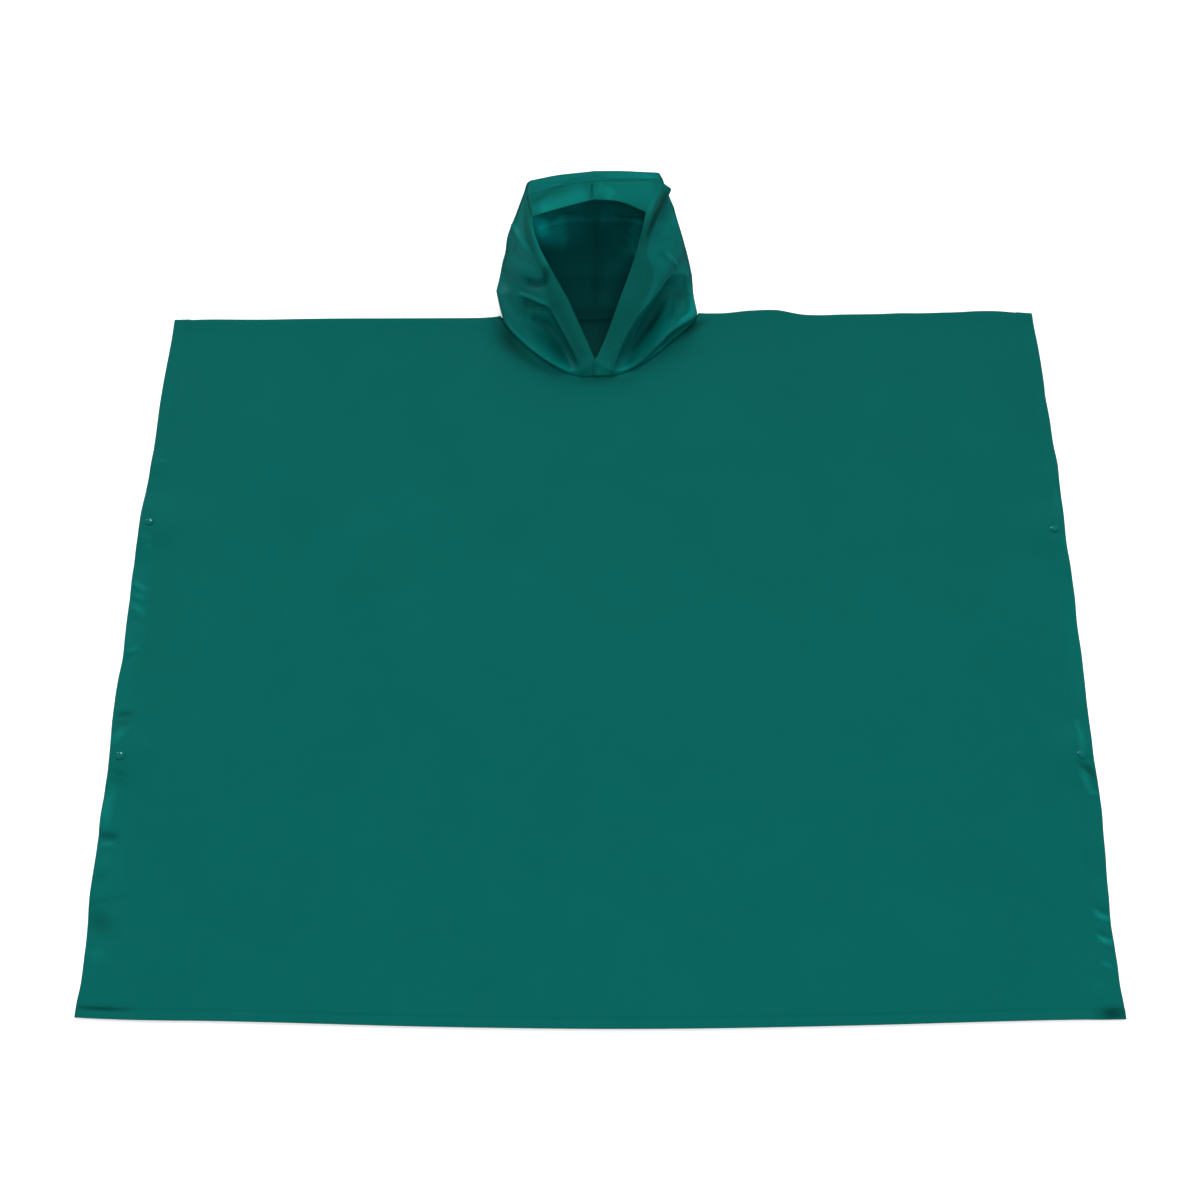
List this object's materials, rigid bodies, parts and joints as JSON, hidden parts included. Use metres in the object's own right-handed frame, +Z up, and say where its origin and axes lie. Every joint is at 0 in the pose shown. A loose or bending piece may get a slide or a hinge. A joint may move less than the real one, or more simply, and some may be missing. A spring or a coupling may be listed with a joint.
{
  "type": "rain poncho",
  "caption": "Hooded rain poncho in soft vinyl film, laid flat and face up with its hood standing open and its side edges closed by press studs.",
  "frame": {"origin": "on the surface the poncho lies on, under the back panel, midway between the side edges and midway between the shoulder line and the straight corners of the hem", "axes": "+X to the right as seen from the hem, +Y from the hem to the hood, +Z up from the surface"},
  "size_m": [1.2827, 1.2126, 0.1651],
  "materials": {
    "film": "satin",
    "hood_film": "satin",
    "hem_film": "satin",
    "stud_plastic": "gloss"
  },
  "bodies": {
    "root": {"back_panel": "film", "front_panel": "film", "hem_bottom": "hem_film", "hem_side_left": "hem_film", "hem_side_right": "hem_film", "hood_hem_left": "hem_film", "hood_hem_right": "hem_film", "hood_left": "hood_film", "hood_right": "hood_film", "stud_back_left_lower": "stud_plastic", "stud_back_left_upper": "stud_plastic", "stud_back_right_lower": "stud_plastic", "stud_back_right_upper": "stud_plastic", "stud_cap_left_lower": "stud_plastic", "stud_cap_left_upper": "stud_plastic", "stud_cap_right_lower": "stud_plastic", "stud_cap_right_upper": "stud_plastic"}
  },
  "joints": []
}
